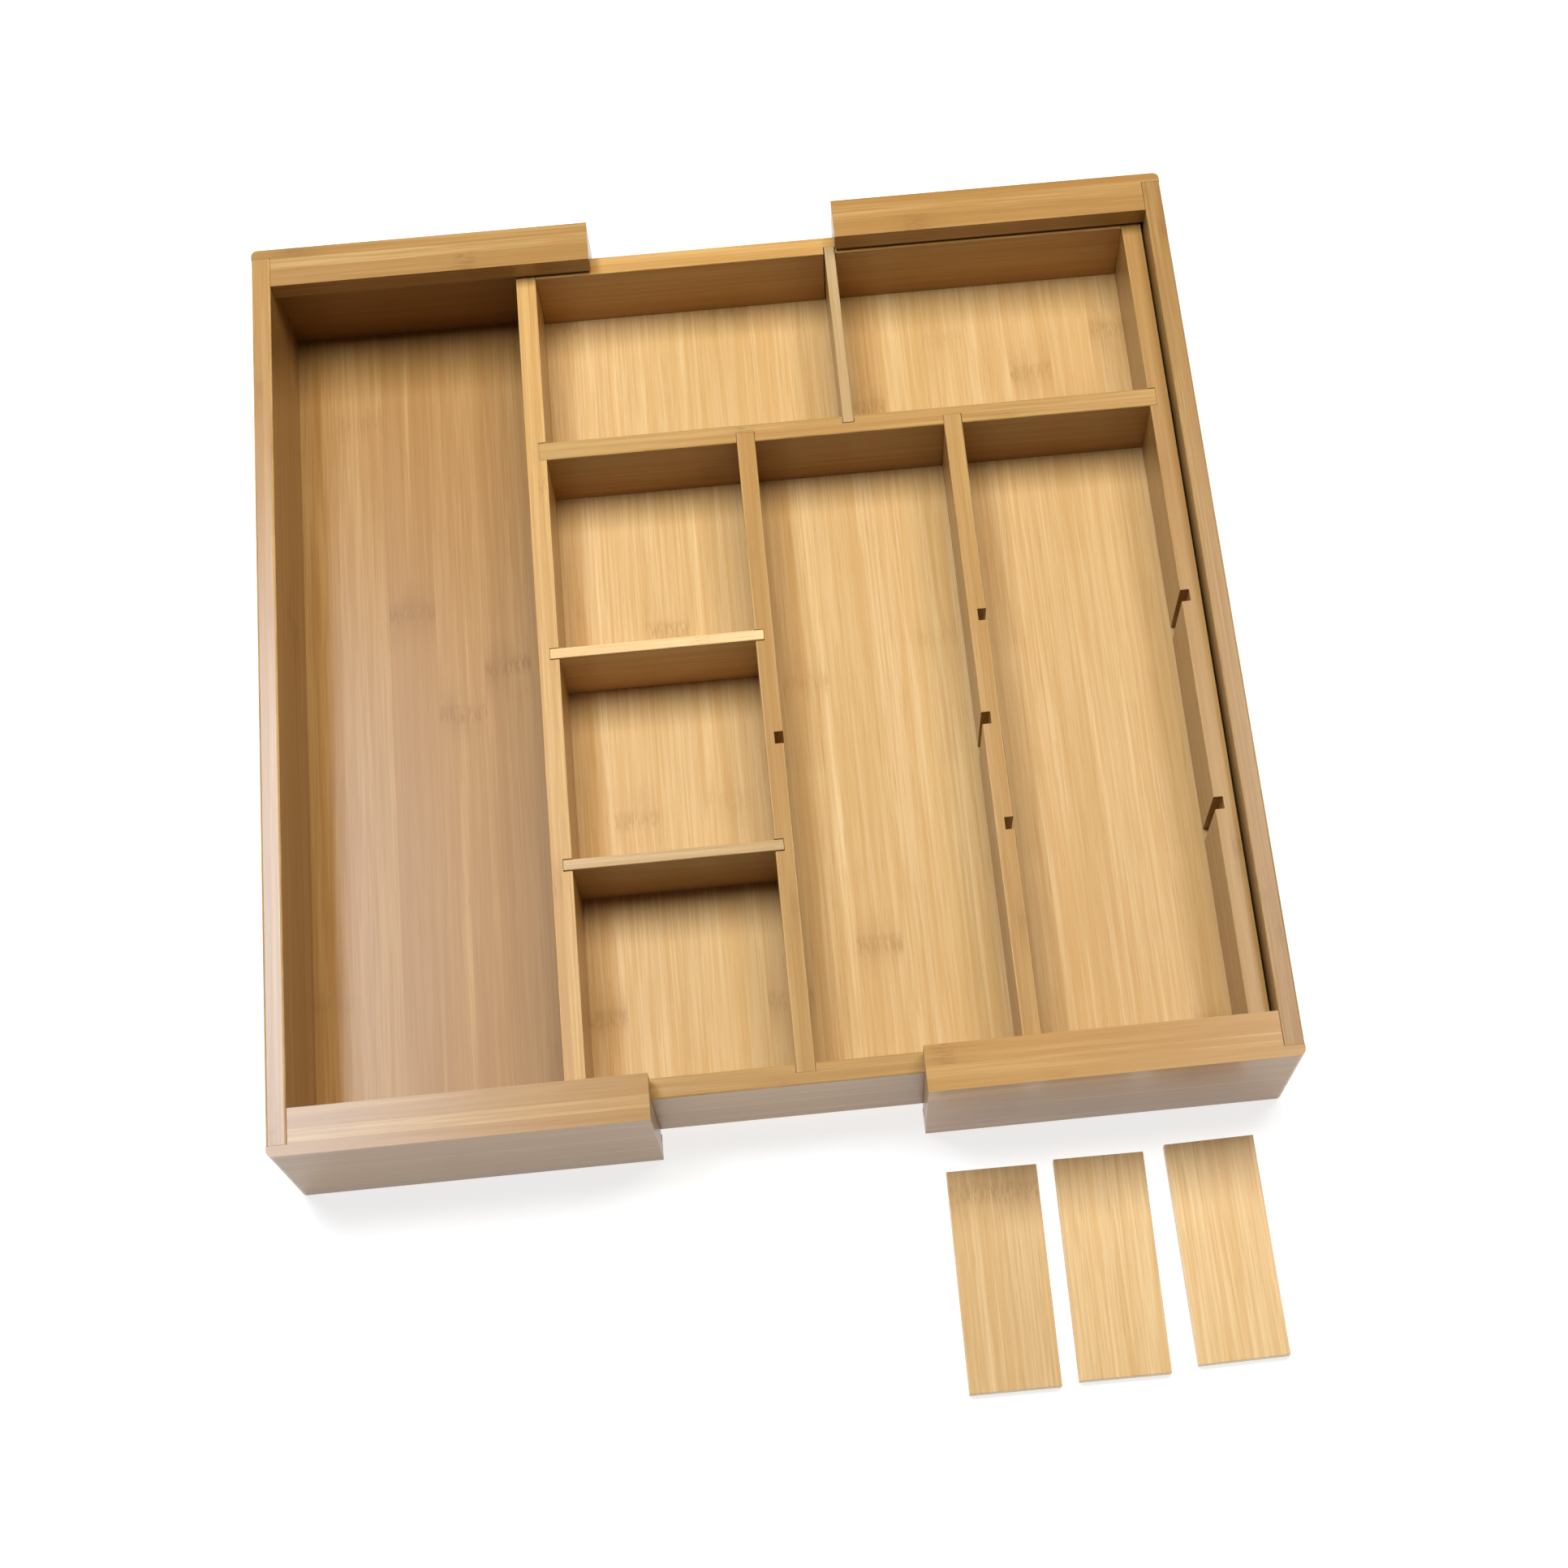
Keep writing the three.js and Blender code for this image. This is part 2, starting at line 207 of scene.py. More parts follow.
class StudioSettings(bpy.types.PropertyGroup):
    """The floor, the softboxes and the camera."""

    floor_size: length_property("Floor size", "Side of the square floor", 14)
    floor_colour: colour_property("Floor colour", "Colour of the floor", (0.42, 0.42, 0.42))
    floor_glow: brightness_property("Floor glow", "Light that the floor gives off, as a lit table does", 0.78)
    sky_low: brightness_property("Low sky", "Brightness of the studio at the horizon", 0.35)
    sky_high: brightness_property("High sky", "Brightness of the studio overhead", 0.06)
    camera_place: FloatVectorProperty(
        name="Camera",
        description="Place of the camera",
        default=(0.0084, -0.4403, 1.1073),
        size=3,
        unit="LENGTH",
    )
    camera_turn: FloatVectorProperty(
        name="Camera turn",
        description="Turn of the camera about X, Y and Z",
        default=(0.3678, 0.003, -0.1009),
        size=3,
        subtype="EULER",
    )
    lens: FloatProperty(
        name="Lens", description="Focal length of the camera", default=58.435, unit="CAMERA"
    )
    shift: FloatVectorProperty(
        name="Shift",
        description="Sideways and upward shift of the lens",
        default=(-0.0541, 0.027),
        size=2,
    )


# ---------------------------------------------------------------- boards

SHARP_ANGLE = math.radians(30)
FLAT_ANGLE = math.radians(0.5)
WELD = 0.002 * MM
GLUED_WITHIN = 0.25 * MM
SHORT_EDGE = 12 * MM
ALIGNED = 0.95
EDGE_SAMPLES = (0.2, 0.5, 0.8)
END_FACING = 0.7
GRAIN_SHIFT = 5
UP = Vector((0, 0, 1))


def body_of_node(node):
    return frame["nodes"][node]["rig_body"]


def glued_neighbours(node):
    """A search tree for each other board that is glued into the same body."""
    trees = []
    for other, thing in frame["nodes"].items():
        if other != node and body_of_node(other) == body_of_node(node):
            corners = [v.co.copy() for v in thing.data.vertices]
            trees.append(BVHTree.FromPolygons(corners, [tuple(p.vertices) for p in thing.data.polygons]))
    return trees


def plain_board(node):
    """The node's solid with its triangles joined into flat faces."""
    board = bmesh.new()
    board.from_mesh(frame["nodes"][node].data)
    bmesh.ops.remove_doubles(board, verts=board.verts, dist=WELD)
    bmesh.ops.dissolve_limit(board, angle_limit=FLAT_ANGLE, verts=board.verts, edges=board.edges)
    return board


def is_sharp(edge):
    return len(edge.link_faces) == 2 and edge.calc_face_angle() > SHARP_ANGLE


def direction_of(edge):
    return (edge.verts[1].co - edge.verts[0].co).normalized()


def board_axes(board):
    """The directions along the grain, across a strip and through the board's thickness."""
    longest = max(filter(is_sharp, board.edges), key=lambda edge: edge.calc_length())
    along = direction_of(longest)
    if along.x + along.y < 0:
        along.negate()
    sideways = UP.cross(along).normalized()

    def extent(axis):
        reach = [v.co.dot(axis) for v in board.verts]
        return max(reach) - min(reach)

    if extent(sideways) < extent(UP):
        return along, UP, sideways
    return along, sideways, UP


def is_glued(edge, neighbours):
    start, end = (v.co for v in edge.verts)
    samples = [start.lerp(end, share) for share in EDGE_SAMPLES]
    met = [any(tree.find_nearest(p, GLUED_WITHIN)[0] is not None for tree in neighbours) for p in samples]
    return sum(met) >= 2


def weigh_edges(board, along, neighbours, long_round, end_round, joint_round):
    """Gives each sharp edge the share of long_round that it is rounded to."""
    weight = board.edges.layers.float.new("bevel_weight_edge")
    for edge in filter(is_sharp, board.edges):
        runs_along = abs(direction_of(edge).dot(along)) > ALIGNED and edge.calc_length() > SHORT_EDGE
        radius = long_round if runs_along else end_round
        if is_glued(edge, neighbours):
            radius = joint_round
        edge[weight] = radius / long_round


def rounded(mesh, name, width, steps):
    """A piece with the mesh's weighted edges rounded over for good, as far as the bevel's clamp allows."""
    piece = bpy.data.objects.new(name, mesh)
    bpy.context.scene.collection.objects.link(piece)
    rounding = piece.modifiers.new("round over", "BEVEL")
    rounding.limit_method = "WEIGHT"
    rounding.width = width
    rounding.segments = steps
    rounding.face_strength_mode = "FSTR_ALL"
    flat_faces = piece.modifiers.new("keep the flat faces flat", "WEIGHTED_NORMAL")
    flat_faces.use_face_influence = True
    bpy.context.view_layer.update()
    evaluated = piece.evaluated_get(bpy.context.evaluated_depsgraph_get())
    finished = bpy.data.meshes.new_from_object(evaluated)
    piece.modifiers.clear()
    piece.data = finished
    finished.name = name
    bpy.data.meshes.remove(mesh)
    return piece


def store(mesh, name, kind, domain, field, values):
    attribute = mesh.attributes.new(name, kind, domain)
    attribute.data.foreach_set(field, np.asarray(values, np.float32).ravel())


def mark_grain(piece, axes, strip_width, layer, seed, shade):
    """Stores what the bamboo's material reads: place on the board, with its thickness counted from the outer
    face, strip and layer, the board's tone with its painted sheen and painted shade, end grain and rounded
    edges."""
    mesh = piece.data
    points = np.empty(len(mesh.vertices) * 3)
    mesh.vertices.foreach_get("co", points)
    turned = points.reshape(-1, 3) @ np.array([list(axis) for axis in axes]).T
    low = turned.min(axis=0)
    high = turned.max(axis=0)
    placed = turned - low
    if low[2] + high[2] > 0:
        placed[:, 2] = high[2] - turned[:, 2]
    chance = np.random.default_rng(seed)
    shift = chance.uniform(0, GRAIN_SHIFT, 3)
    strips = max(1, round((high[1] - low[1]) / strip_width))
    strip = np.empty_like(placed)
    strip[:, 0] = placed[:, 1] / (high[1] - low[1]) * strips
    strip[:, 1] = placed[:, 2] / layer
    strip[:, 2] = seed
    store(mesh, "board", "FLOAT_VECTOR", "POINT", "vector", placed + shift)
    store(mesh, "strip", "FLOAT_VECTOR", "POINT", "vector", strip)
    store(mesh, "shade", "FLOAT", "POINT", "value", np.full(len(mesh.vertices), shade))
    normals = np.empty(len(mesh.polygons) * 3)
    mesh.polygons.foreach_get("normal", normals)
    facing = np.abs(normals.reshape(-1, 3) @ np.array([list(axis) for axis in axes]).T)
    store(mesh, "end_grain", "FLOAT", "FACE", "value", facing[:, 0] > END_FACING)
    store(mesh, "edge_wear", "FLOAT", "FACE", "value", facing.max(axis=1) < ALIGNED)


def make_board(node, material, long_round, strip_width, layers=1, layer=None, seed=0):
    """One finished board, riding on the node's body in the node's place."""
    settings = bpy.context.scene.organizer_boards
    board = plain_board(node)
    axes = board_axes(board)
    reach = [v.co.dot(axes[2]) for v in board.verts]
    thickness = max(reach) - min(reach)
    weigh_edges(board, axes[0], glued_neighbours(node), long_round, settings.end_round, settings.joint_round)
    mesh = bpy.data.meshes.new(node)
    board.to_mesh(mesh)
    board.free()
    mesh.shade_smooth()
    piece = rounded(mesh, node + "_board", long_round, settings.steps)
    # the board's tone multiplier, partly painted light: painted sheen on some boards, painted shade on others
    mark_grain(piece, axes, strip_width, layer or thickness / layers, seed, TONE_AND_PAINTED_LIGHT.get(node, 1.0))
    piece.data.materials.append(material)
    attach(piece, body_of_node(node))
    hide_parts(node)
    return piece


# ---------------------------------------------------------------- bamboo

# what a board's deepest red, green and blue are multiplied by for the other tones in it
ROSY = (1.06, 0.98, 1.12)
EMBER = (0.86, 0.74, 0.56)
RUDDY = (1.0, 0.84, 0.7)
SCORCHED = (0.6, 0.5, 0.38)
END_GRAIN = (0.8, 0.8, 0.8)
# what a board's palest tone is multiplied by where it is lighter still
LIGHT_STREAK = 1.1
RUBBED_EDGE = 1.15

# growth nodes: the furthest start and sideways stray, the ring beside the band, and where each fades out
NODE_START = 3.0
NODE_WANDER = 6 * MM
RING_PLACE = 3.2 * MM
RING_FADE = (0.4 * MM, 2.2 * MM)
BAND_FADE = (1 * MM, 7 * MM)
HALO_FADE = (0.0, 22 * MM)

BUMP_HEIGHT = 0.08 * MM
LAST_LAYER = 2.0


def tinted(colour, factors):
    return [part * factor for part, factor in zip(colour, factors)]


def lighter(colour, factor):
    return [min(1, part * factor) for part in colour]


def add(tree, kind, inputs=None, **settings):
    """A node with its inputs joined to sockets or set to values."""
    node = tree.nodes.new(kind)
    for name, value in settings.items():
        setattr(node, name, value)
    for key, value in (inputs or {}).items():
        if isinstance(value, bpy.types.NodeSocket):
            tree.links.new(value, node.inputs[key])
        else:
            node.inputs[key].default_value = value
    return node


def reckon(tree, operation, first, second=0.0):
    return add(tree, "ShaderNodeMath", {0: first, 1: second}, operation=operation).outputs[0]


def spread(tree, value, low, high, to_low=0.0, to_high=1.0):
    """Eases value from low..high to to_low..to_high."""
    inputs = {0: value, 1: low, 2: high, 3: to_low, 4: to_high}
    return add(tree, "ShaderNodeMapRange", inputs, interpolation_type="SMOOTHSTEP").outputs[0]


def blend(tree, share, first, second, kind="MIX"):
    inputs = {0: share, 6: first, 7: second}
    return add(tree, "ShaderNodeMix", inputs, data_type="RGBA", blend_type=kind).outputs[2]


def split(tree, vector):
    return add(tree, "ShaderNodeSeparateXYZ", {0: vector}).outputs


def join(tree, x, y, z):
    return add(tree, "ShaderNodeCombineXYZ", {0: x, 1: y, 2: z}).outputs[0]


def grey(tree, value):
    return add(tree, "ShaderNodeCombineColor", {0: value, 1: value, 2: value}).outputs[0]


def noise(tree, vector, detail=2.0, roughness=0.5, scale=1.0):
    inputs = {"Vector": vector, "Scale": scale, "Detail": detail, "Roughness": roughness}
    return add(tree, "ShaderNodeTexNoise", inputs).outputs[0]


def opaque(colour):
    return (*colour, 1.0)


def bamboo(name, pale, deep, coat, pale_core):
    """Lacquered laminated bamboo. Each strip has its own tone, streaks, fibres and growth nodes. With
    pale_core, the second of three layers is the palest."""
    finish = bpy.context.scene.organizer_finish
    spacing = bpy.context.scene.organizer_boards.node_spacing
    material = bpy.data.materials.new(name)
    material.use_nodes = True
    tree = material.node_tree
    tree.nodes.clear()
    board = add(tree, "ShaderNodeAttribute", attribute_name="board").outputs["Vector"]
    along, across, through = split(tree, board)
    strip = add(tree, "ShaderNodeAttribute", attribute_name="strip").outputs["Vector"]
    strip_across, strip_through, seed = split(tree, strip)
    seed = reckon(tree, "ROUND", seed)

    # which strip this is, and its random numbers
    row = reckon(tree, "FLOOR", strip_across)
    layer = reckon(tree, "MINIMUM", reckon(tree, "FLOOR", strip_through), LAST_LAYER)
    strip_number = {"Vector": join(tree, row, layer, seed)}
    dice = add(tree, "ShaderNodeTexWhiteNoise", strip_number, noise_dimensions="3D")
    tone_chance, hue_chance, node_chance = split(tree, dice.outputs["Color"])
    far_apart = {0: dice.outputs["Color"], 1: (9.0, 9.0, 9.0)}
    strip_shift = add(tree, "ShaderNodeVectorMath", far_apart, operation="MULTIPLY").outputs[0]

    def stretched(per_metre_along, per_metre_across):
        """A coordinate that runs slowly along the grain and fast across it, shifted strip by strip."""
        vector = join(
            tree,
            reckon(tree, "MULTIPLY", along, per_metre_along),
            reckon(tree, "MULTIPLY", across, per_metre_across),
            reckon(tree, "MULTIPLY", through, per_metre_across),
        )
        return add(tree, "ShaderNodeVectorMath", {0: vector, 1: strip_shift}, operation="ADD").outputs[0]

    # tone of the strip, broad clouds and streaks
    if pale_core:
        from_core = reckon(tree, "ABSOLUTE", reckon(tree, "SUBTRACT", layer, 1.0))
        from_core = reckon(tree, "MINIMUM", from_core, 1.0)
        tone_chance = spread(tree, from_core, 0.0, 1.0, 0.1, 0.85)
    tone = blend(tree, tone_chance, opaque(pale), opaque(deep))
    tone = blend(tree, reckon(tree, "MULTIPLY", hue_chance, 0.35), tone, opaque(tinted(deep, ROSY)))
    ember = tinted(deep, EMBER)
    clouds = spread(tree, noise(tree, stretched(5, 22), 2.0), 0.3, 0.7)
    tone = blend(tree, reckon(tree, "MULTIPLY", clouds, 0.28), tone, opaque(ember))
    streaks = spread(tree, noise(tree, stretched(5, 260), 4.0, 0.78), 0.45, 0.59)
    wood = blend(tree, reckon(tree, "MULTIPLY", streaks, 0.6), tone, opaque(ember))
    light_streaks = spread(tree, noise(tree, stretched(4, 160), 3.0), 0.52, 0.75)
    light_share = reckon(tree, "MULTIPLY", light_streaks, 0.5)
    wood = blend(tree, light_share, wood, opaque(lighter(pale, LIGHT_STREAK)))
    ruddy = spread(tree, noise(tree, stretched(2.5, 75), 2.0), 0.5, 0.72)
    wood = blend(tree, reckon(tree, "MULTIPLY", ruddy, 0.3), wood, opaque(tinted(deep, RUDDY)))

    # fibres and the darker vessels between them
    fibres = noise(tree, stretched(14, 850), 3.0, 0.65)
    wood = blend(tree, spread(tree, fibres, 0.36, 0.6, 0.52, 0.0), wood, opaque(ember))
    vessels = spread(tree, noise(tree, stretched(45, 2100), 1.0), 0.6, 0.78)
    wood = blend(tree, reckon(tree, "MULTIPLY", vessels, 0.3), wood, opaque(finish.node_brown))

    # growth nodes
    wander = reckon(tree, "MULTIPLY", noise(tree, stretched(0, 70), 2.0), NODE_WANDER)
    start = reckon(tree, "MULTIPLY", node_chance, NODE_START)
    place = reckon(tree, "ADD", reckon(tree, "ADD", along, wander), start)
    turn = reckon(tree, "FRACT", reckon(tree, "DIVIDE", place, spacing))
    past_node = reckon(tree, "MULTIPLY", reckon(tree, "SUBTRACT", turn, 0.5), spacing)
    from_node = reckon(tree, "ABSOLUTE", past_node)
    to_ring = reckon(tree, "ABSOLUTE", reckon(tree, "SUBTRACT", past_node, RING_PLACE))
    ring = spread(tree, to_ring, *RING_FADE, 0.55, 0.0)
    broken = spread(tree, noise(tree, stretched(90, 900), 3.0, 0.6), 0.42, 0.6)
    band = spread(tree, from_node, *BAND_FADE, 1.0, 0.0)
    dashes = spread(tree, noise(tree, stretched(190, 1250), 2.0, 0.6), 0.42, 0.62)
    dashed_band = reckon(tree, "MULTIPLY", band, dashes)
    broken_ring = reckon(tree, "MULTIPLY", ring, broken)
    mark = reckon(tree, "MAXIMUM", dashed_band, broken_ring)
    haze = spread(tree, noise(tree, stretched(30, 110), 3.0, 0.6), 0.3, 0.65)
    halo = reckon(tree, "MULTIPLY", spread(tree, from_node, *HALO_FADE, 1.0, 0.0), haze)
    scorched = tinted(deep, SCORCHED)
    strength = spread(tree, hue_chance, 0.2, 0.8, 0.35, 1.0)
    halo_share = reckon(tree, "MULTIPLY", reckon(tree, "MULTIPLY", halo, 0.42), strength)
    wood = blend(tree, halo_share, wood, opaque(scorched))
    mark_share = reckon(tree, "MULTIPLY", reckon(tree, "MULTIPLY", mark, 0.62), strength)
    wood = blend(tree, mark_share, wood, opaque(scorched))

    # glue lines between the strips
    within_layer = reckon(tree, "FRACT", reckon(tree, "MINIMUM", strip_through, LAST_LAYER + 0.5))
    to_layer_edge = reckon(tree, "ABSOLUTE", reckon(tree, "SUBTRACT", within_layer, 0.5))
    within_strip = reckon(tree, "FRACT", strip_across)
    to_strip_edge = reckon(tree, "ABSOLUTE", reckon(tree, "SUBTRACT", within_strip, 0.5))
    beside_strip = spread(tree, to_strip_edge, 0.488, 0.5)
    between_layers = spread(tree, to_layer_edge, 0.46, 0.5)
    glue = reckon(tree, "MAXIMUM", beside_strip, between_layers)
    wood = blend(tree, reckon(tree, "MULTIPLY", glue, 0.3), wood, opaque(finish.node_brown))

    # end grain and worn edges
    end = add(tree, "ShaderNodeAttribute", attribute_name="end_grain").outputs["Fac"]
    cells = add(tree, "ShaderNodeTexVoronoi", {"Vector": stretched(0, 950), "Scale": 1.0}).outputs["Distance"]
    bundles = spread(tree, cells, 0.1, 0.42, 0.75, 0.0)
    end_wood = blend(tree, bundles, opaque(tinted(deep, END_GRAIN)), opaque(finish.end_brown))
    wood = blend(tree, end, wood, end_wood)
    edge = add(tree, "ShaderNodeAttribute", attribute_name="edge_wear").outputs["Fac"]
    uneven = spread(tree, noise(tree, board, 2.0, 0.6, 60.0), 0.35, 0.7, 0.05, 0.35)
    rubbed = reckon(tree, "MULTIPLY", edge, uneven)
    wood = blend(tree, rubbed, wood, opaque(lighter(pale, RUBBED_EDGE)))

    # the board's own tone, partly painted light: a painted sheen brightens the boards at the left and front,
    # and painted shade darkens those at the right and back
    shade = add(tree, "ShaderNodeAttribute", attribute_name="shade").outputs["Fac"]
    wood = blend(tree, 1.0, wood, grey(tree, shade), "MULTIPLY")

    # lacquer that sinks a little into the vessels
    lacquer = spread(tree, fibres, 0.2, 0.8, finish.roughness - 0.05, finish.roughness + 0.08)
    lacquer = reckon(tree, "ADD", lacquer, reckon(tree, "MULTIPLY", rubbed, 0.25))
    height = reckon(tree, "SUBTRACT", fibres, reckon(tree, "MULTIPLY", vessels, 0.8))
    height = reckon(tree, "SUBTRACT", height, reckon(tree, "MULTIPLY", glue, 0.6))
    height = reckon(tree, "ADD", height, reckon(tree, "MULTIPLY", mark, 0.7))
    relief = add(tree, "ShaderNodeBump", {"Strength": 0.2, "Distance": BUMP_HEIGHT, "Height": height})
    shader = add(tree, "ShaderNodeBsdfPrincipled", {
        "Base Color": wood,
        "Roughness": lacquer,
        "Normal": relief.outputs[0],
        "IOR": 1.5,
        "Specular IOR Level": 0.08,
        "Coat Weight": coat,
        "Coat Roughness": finish.coat_roughness,
    })
    add(tree, "ShaderNodeOutputMaterial", {0: shader.outputs[0]})
    return material


# ---------------------------------------------------------------- operators

class BoardOperator(bpy.types.Operator):
    """Shared by the operators that make boards."""

    bl_options = {"REGISTER", "UNDO"}

    def make_boards(self, nodes, family, slot, long_round, first_seed, layers=1, layer=None):
        finish = bpy.context.scene.organizer_finish
        pale, deep = (getattr(finish, f"{family}_{tone}")[:] for tone in ("pale", "deep"))
        coat = finish.floor_coat if slot == "bamboo_floor" else finish.coat
        material = bamboo(f"bamboo {family}", pale, deep, coat, pale_core=layer is not None)
        boards = bpy.context.scene.organizer_boards
        strip_width = boards.divider_strip if family == "divider" else boards.strip_width
        for number, node in enumerate(nodes):
            seed = SEEDS.get(node, first_seed + number)
            make_board(node, material, long_round, strip_width, layers, layer, seed)


class ORGANIZER_OT_rails(BoardOperator):
    """Makes the four rails of the sliders, each of three laminated layers."""

    bl_idname = "organizer.rails"
    bl_label = "Slider rails"

    def execute(self, context):
        boards = context.scene.organizer_boards
        self.make_boards(RAILS, "rail", "bamboo_slider", boards.rail_round, 11, layer=boards.rail_layer)
        return {"FINISHED"}


class ORGANIZER_OT_side_walls(BoardOperator):
    """Makes the side wall of each slider."""

    bl_idname = "organizer.side_walls"
    bl_label = "Slider side walls"

    def execute(self, context):
        boards = context.scene.organizer_boards
        self.make_boards(SIDE_WALLS, "rail", "bamboo_slider", boards.rail_round, 21, layers=2)
        return {"FINISHED"}


class ORGANIZER_OT_slider_floors(BoardOperator):
    """Makes the floor panel of each slider."""

    bl_idname = "organizer.slider_floors"
    bl_label = "Slider floors"

    def execute(self, context):
        boards = context.scene.organizer_boards
        self.make_boards(SLIDER_FLOORS, "slider_floor", "bamboo_floor", boards.end_round, 31)
        return {"FINISHED"}


class ORGANIZER_OT_tray_floor(BoardOperator):
    """Makes the tray's floor panel."""

    bl_idname = "organizer.tray_floor"
    bl_label = "Tray floor"

    def execute(self, context):
        boards = context.scene.organizer_boards
        self.make_boards(TRAY_FLOORS, "floor", "bamboo_floor", boards.end_round, 41)
        return {"FINISHED"}


class ORGANIZER_OT_tray_walls(BoardOperator):
    """Makes the four walls of the tray."""

    bl_idname = "organizer.tray_walls"
    bl_label = "Tray walls"

    def execute(self, context):
        boards = context.scene.organizer_boards
        self.make_boards(TRAY_WALLS, "tray", "bamboo_tray", boards.tray_round, 51, layers=2)
        return {"FINISHED"}


class ORGANIZER_OT_fixed_dividers(BoardOperator):
    """Makes the cross divider and the two long dividers, which are glued into the tray."""

    bl_idname = "organizer.fixed_dividers"
    bl_label = "Fixed dividers"

    def execute(self, context):
        boards = context.scene.organizer_boards
        self.make_boards(FIXED_DIVIDERS, "tray", "bamboo_tray", boards.tray_round, 61, layers=2)
        return {"FINISHED"}


class ORGANIZER_OT_removable_dividers(BoardOperator):
    """Makes the six thin dividers, three standing in their slots and three lying loose."""

    bl_idname = "organizer.removable_dividers"
    bl_label = "Removable dividers"

    def execute(self, context):
        boards = context.scene.organizer_boards
        dividers = STANDING_DIVIDERS + LOOSE_DIVIDERS
        self.make_boards(dividers, "divider", "bamboo_divider", boards.divider_round, 71)
        return {"FINISHED"}


DAYLIGHT = (0.78, 0.97, 1.22)
WHITE = (1, 1, 1)
LAMPLIGHT = (1.06, 1.0, 0.86)

# name, place, size, brightness, colour and whether it shows in the lacquer
SOFTBOXES = [
    ("left softbox", (-0.57, 0.47, 1.5), (0.3, 0.8), 0.46, DAYLIGHT, True),
    ("right softbox", (0.92, 0.66, 2.0), (0.5, 0.9), 0.29, WHITE, True),
    ("middle softbox", (-0.05, 0.53, 1.7), (1.0, 1.0), 0.76, LAMPLIGHT, False),
]


def softbox(name, place, size, brightness, colour, in_gloss, aim):
    """A level lamp over the organizer. brightness is what it adds to a white surface that faces up."""
    reach = Vector(place) - aim
    lamp = bpy.data.lights.new(name, "AREA")
    lamp.shape = "RECTANGLE"
    lamp.size, lamp.size_y = size
    lamp.energy = brightness * math.pi ** 2 * reach.length_squared / (reach.z / reach.length) ** 2
    holder = bpy.data.objects.new(name, lamp)
    bpy.context.scene.collection.objects.link(holder)
    holder.location = place
    lamp.color = colour
    holder.visible_glossy = in_gloss


def studio_sky(low, high):
    """Pale at the horizon and dim overhead, where the softboxes hang."""
    world = bpy.data.worlds.new("studio sky")
    world.use_nodes = True
    tree = world.node_tree
    tree.nodes.clear()
    direction = add(tree, "ShaderNodeTexCoord").outputs["Generated"]
    rise = split(tree, direction)[2]
    brightness = spread(tree, rise, 0.05, 0.35, low, high)
    background = add(tree, "ShaderNodeBackground", {"Color": (1, 1, 1, 1), "Strength": brightness})
    add(tree, "ShaderNodeOutputWorld", {0: background.outputs[0]})
    bpy.context.scene.world = world


def studio_floor(size, colour, glow):
    """A plain pale floor under the organizer, evenly lit like a light table."""
    half = size / 2
    mesh = bpy.data.meshes.new("studio_floor")
    corners = [(-half, -half, 0), (half, -half, 0), (half, half, 0), (-half, half, 0)]
    mesh.from_pydata(corners, [], [(0, 1, 2, 3)])
    material = bpy.data.materials.new("studio floor")
    material.use_nodes = True
    tree = material.node_tree
    shader = tree.nodes["Principled BSDF"]
    place = add(tree, "ShaderNodeTexCoord").outputs["Object"]
    grain = spread(tree, noise(tree, place, 3.0, 0.6, 6.0), 0.3, 0.7, 0.97, 1.03)
    tint = blend(tree, 1.0, opaque(colour), grey(tree, grain), "MULTIPLY")
    tree.links.new(tint, shader.inputs["Base Color"])
    shader.inputs["Roughness"].default_value = 0.8
    shader.inputs["Specular IOR Level"].default_value = 0.2
    shader.inputs["Emission Color"].default_value = (1, 1, 1, 1)
    shader.inputs["Emission Strength"].default_value = glow
    mesh.materials.append(material)
    floor = bpy.data.objects.new("studio_floor", mesh)
    bpy.context.scene.collection.objects.link(floor)


def studio_camera(place, turn, lens, shift):
    camera = bpy.data.cameras.new("camera")
    camera.lens = lens
    camera.sensor_width = 36
    camera.shift_x, camera.shift_y = shift
    camera.clip_end = 50
    holder = bpy.data.objects.new("camera", camera)
    bpy.context.scene.collection.objects.link(holder)
    holder.location = place
    holder.rotation_euler = Euler(turn, "XYZ")
    bpy.context.scene.camera = holder


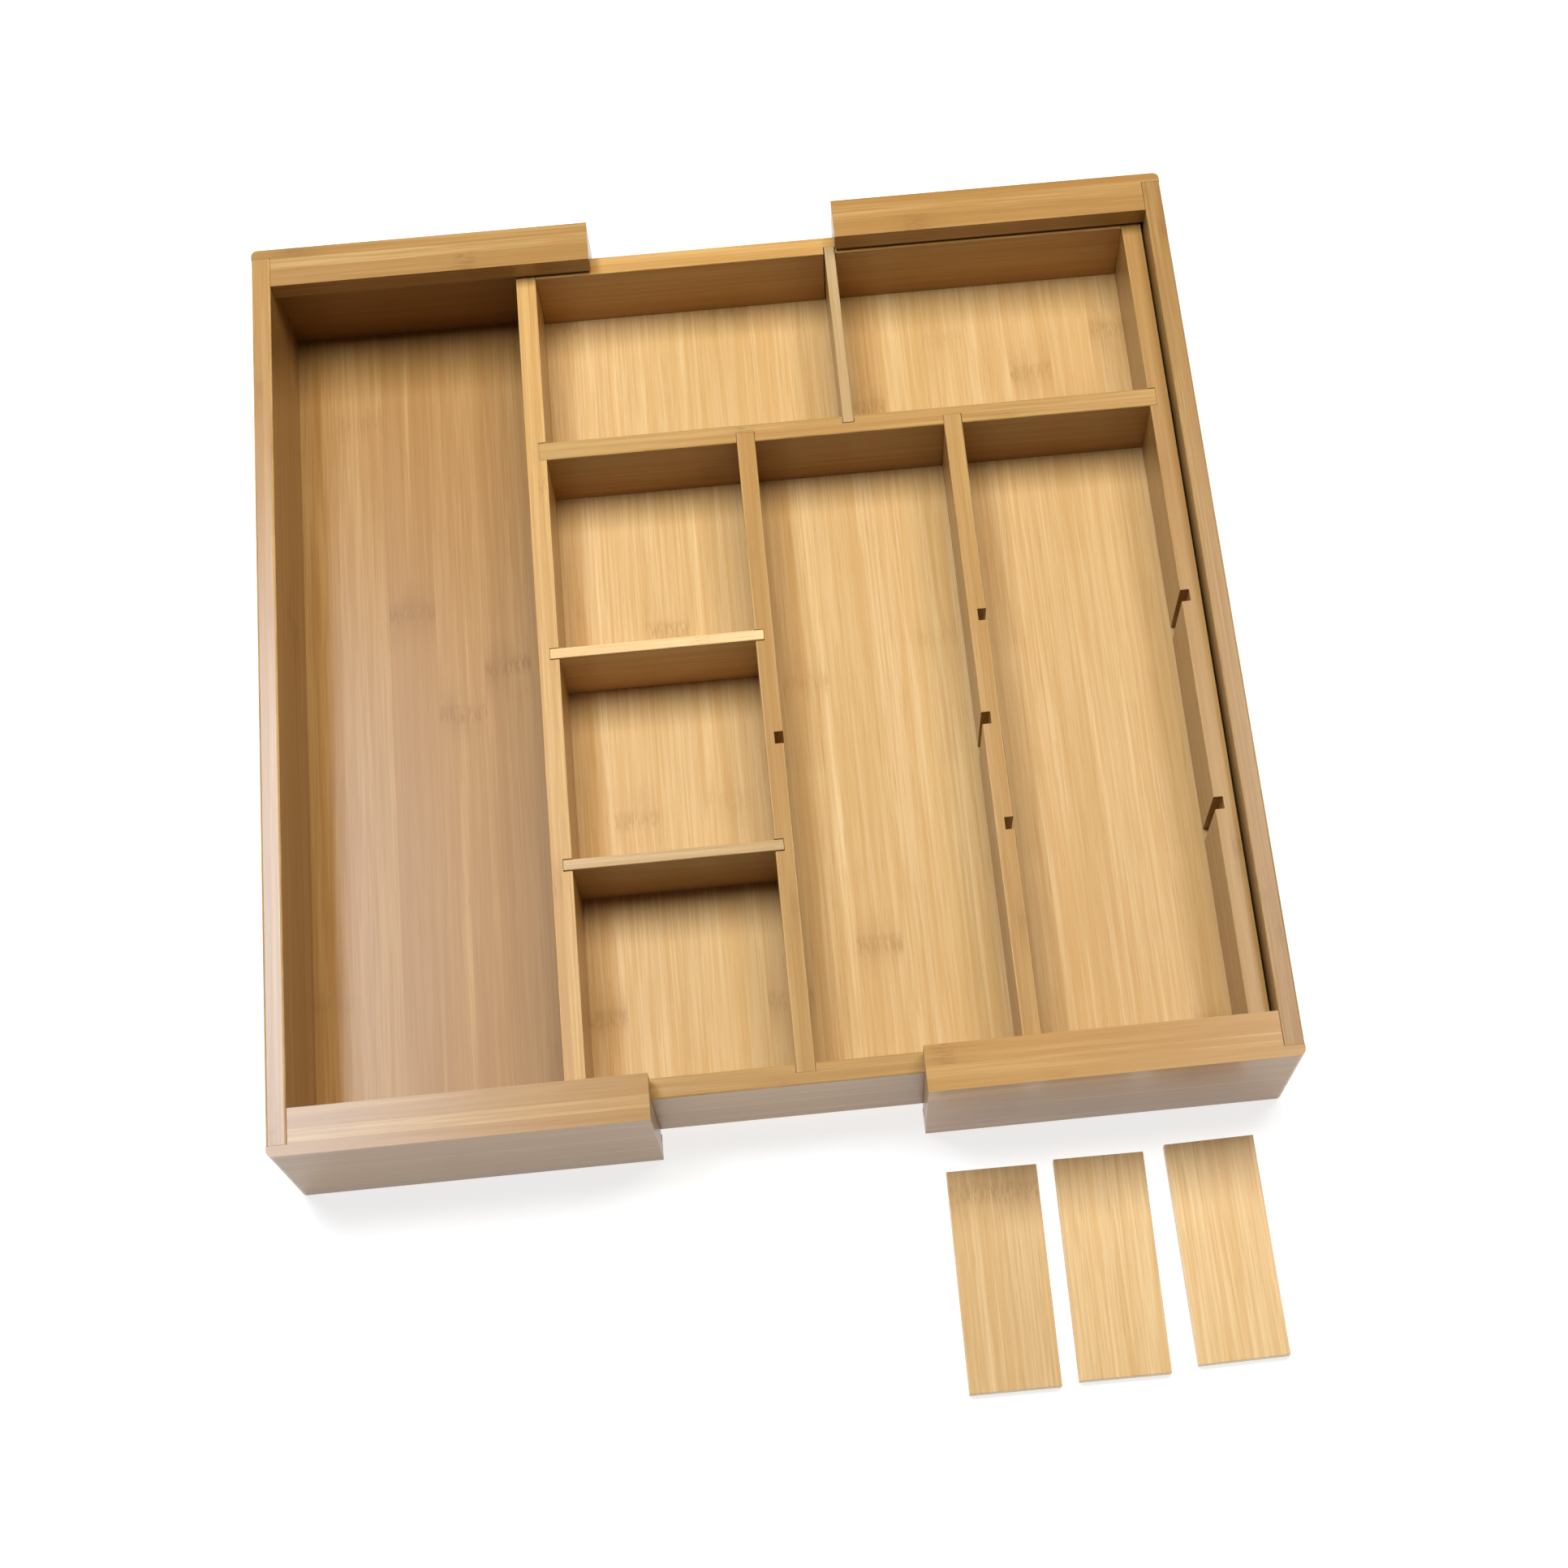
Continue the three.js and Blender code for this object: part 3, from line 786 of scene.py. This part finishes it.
class ORGANIZER_OT_studio(bpy.types.Operator):
    """Sets up the pale floor, three softboxes, the sky and the camera."""

    bl_idname = "organizer.studio"
    bl_label = "Studio"

    def execute(self, context):
        studio = context.scene.organizer_studio
        context.scene.view_settings.view_transform = "Standard"
        low, high = (Vector(corner) for corner in CAD_BOX)
        aim = (low + high) / 2
        aim.z = low.z
        studio_floor(studio.floor_size, studio.floor_colour[:], studio.floor_glow)
        studio_sky(studio.sky_low, studio.sky_high)
        for lamp in SOFTBOXES:
            softbox(*lamp, aim)
        studio_camera(studio.camera_place[:], studio.camera_turn[:], studio.lens, studio.shift[:])
        return {"FINISHED"}


class ORGANIZER_PT_sidebar(bpy.types.Panel):
    """The organizer's settings and the operators that make its pieces."""

    bl_idname = "ORGANIZER_PT_sidebar"
    bl_label = "Drawer organizer"
    bl_space_type = "VIEW_3D"
    bl_region_type = "UI"
    bl_category = "Organizer"

    def draw(self, context):
        for title, settings in (
            ("Boards", context.scene.organizer_boards),
            ("Finish", context.scene.organizer_finish),
            ("Studio", context.scene.organizer_studio),
        ):
            box = self.layout.box()
            box.label(text=title)
            for name in settings.__annotations__:
                box.prop(settings, name)
        for operator in OPERATORS:
            self.layout.operator(operator.bl_idname)


OPERATORS = [
    ORGANIZER_OT_rails,
    ORGANIZER_OT_side_walls,
    ORGANIZER_OT_slider_floors,
    ORGANIZER_OT_tray_floor,
    ORGANIZER_OT_tray_walls,
    ORGANIZER_OT_fixed_dividers,
    ORGANIZER_OT_removable_dividers,
    ORGANIZER_OT_studio,
]
CLASSES = [BoardSettings, FinishSettings, StudioSettings, *OPERATORS, ORGANIZER_PT_sidebar]


def register():
    for made in CLASSES:
        bpy.utils.register_class(made)
    bpy.types.Scene.organizer_boards = PointerProperty(type=BoardSettings)
    bpy.types.Scene.organizer_finish = PointerProperty(type=FinishSettings)
    bpy.types.Scene.organizer_studio = PointerProperty(type=StudioSettings)


def unregister():
    del bpy.types.Scene.organizer_studio
    del bpy.types.Scene.organizer_finish
    del bpy.types.Scene.organizer_boards
    for made in reversed(CLASSES):
        bpy.utils.unregister_class(made)


def clear_scene():
    """Leaves only what the frame brought in."""
    kept = {*frame["nodes"].values(), *frame["bodies"].values()}
    for thing in list(bpy.data.objects):
        if thing not in kept:
            bpy.data.objects.remove(thing)


def main():
    register()
    clear_scene()
    for operator in OPERATORS:
        group, name = operator.bl_idname.split(".")
        getattr(getattr(bpy.ops, group), name)()


if __name__ == "__main__":
    main()
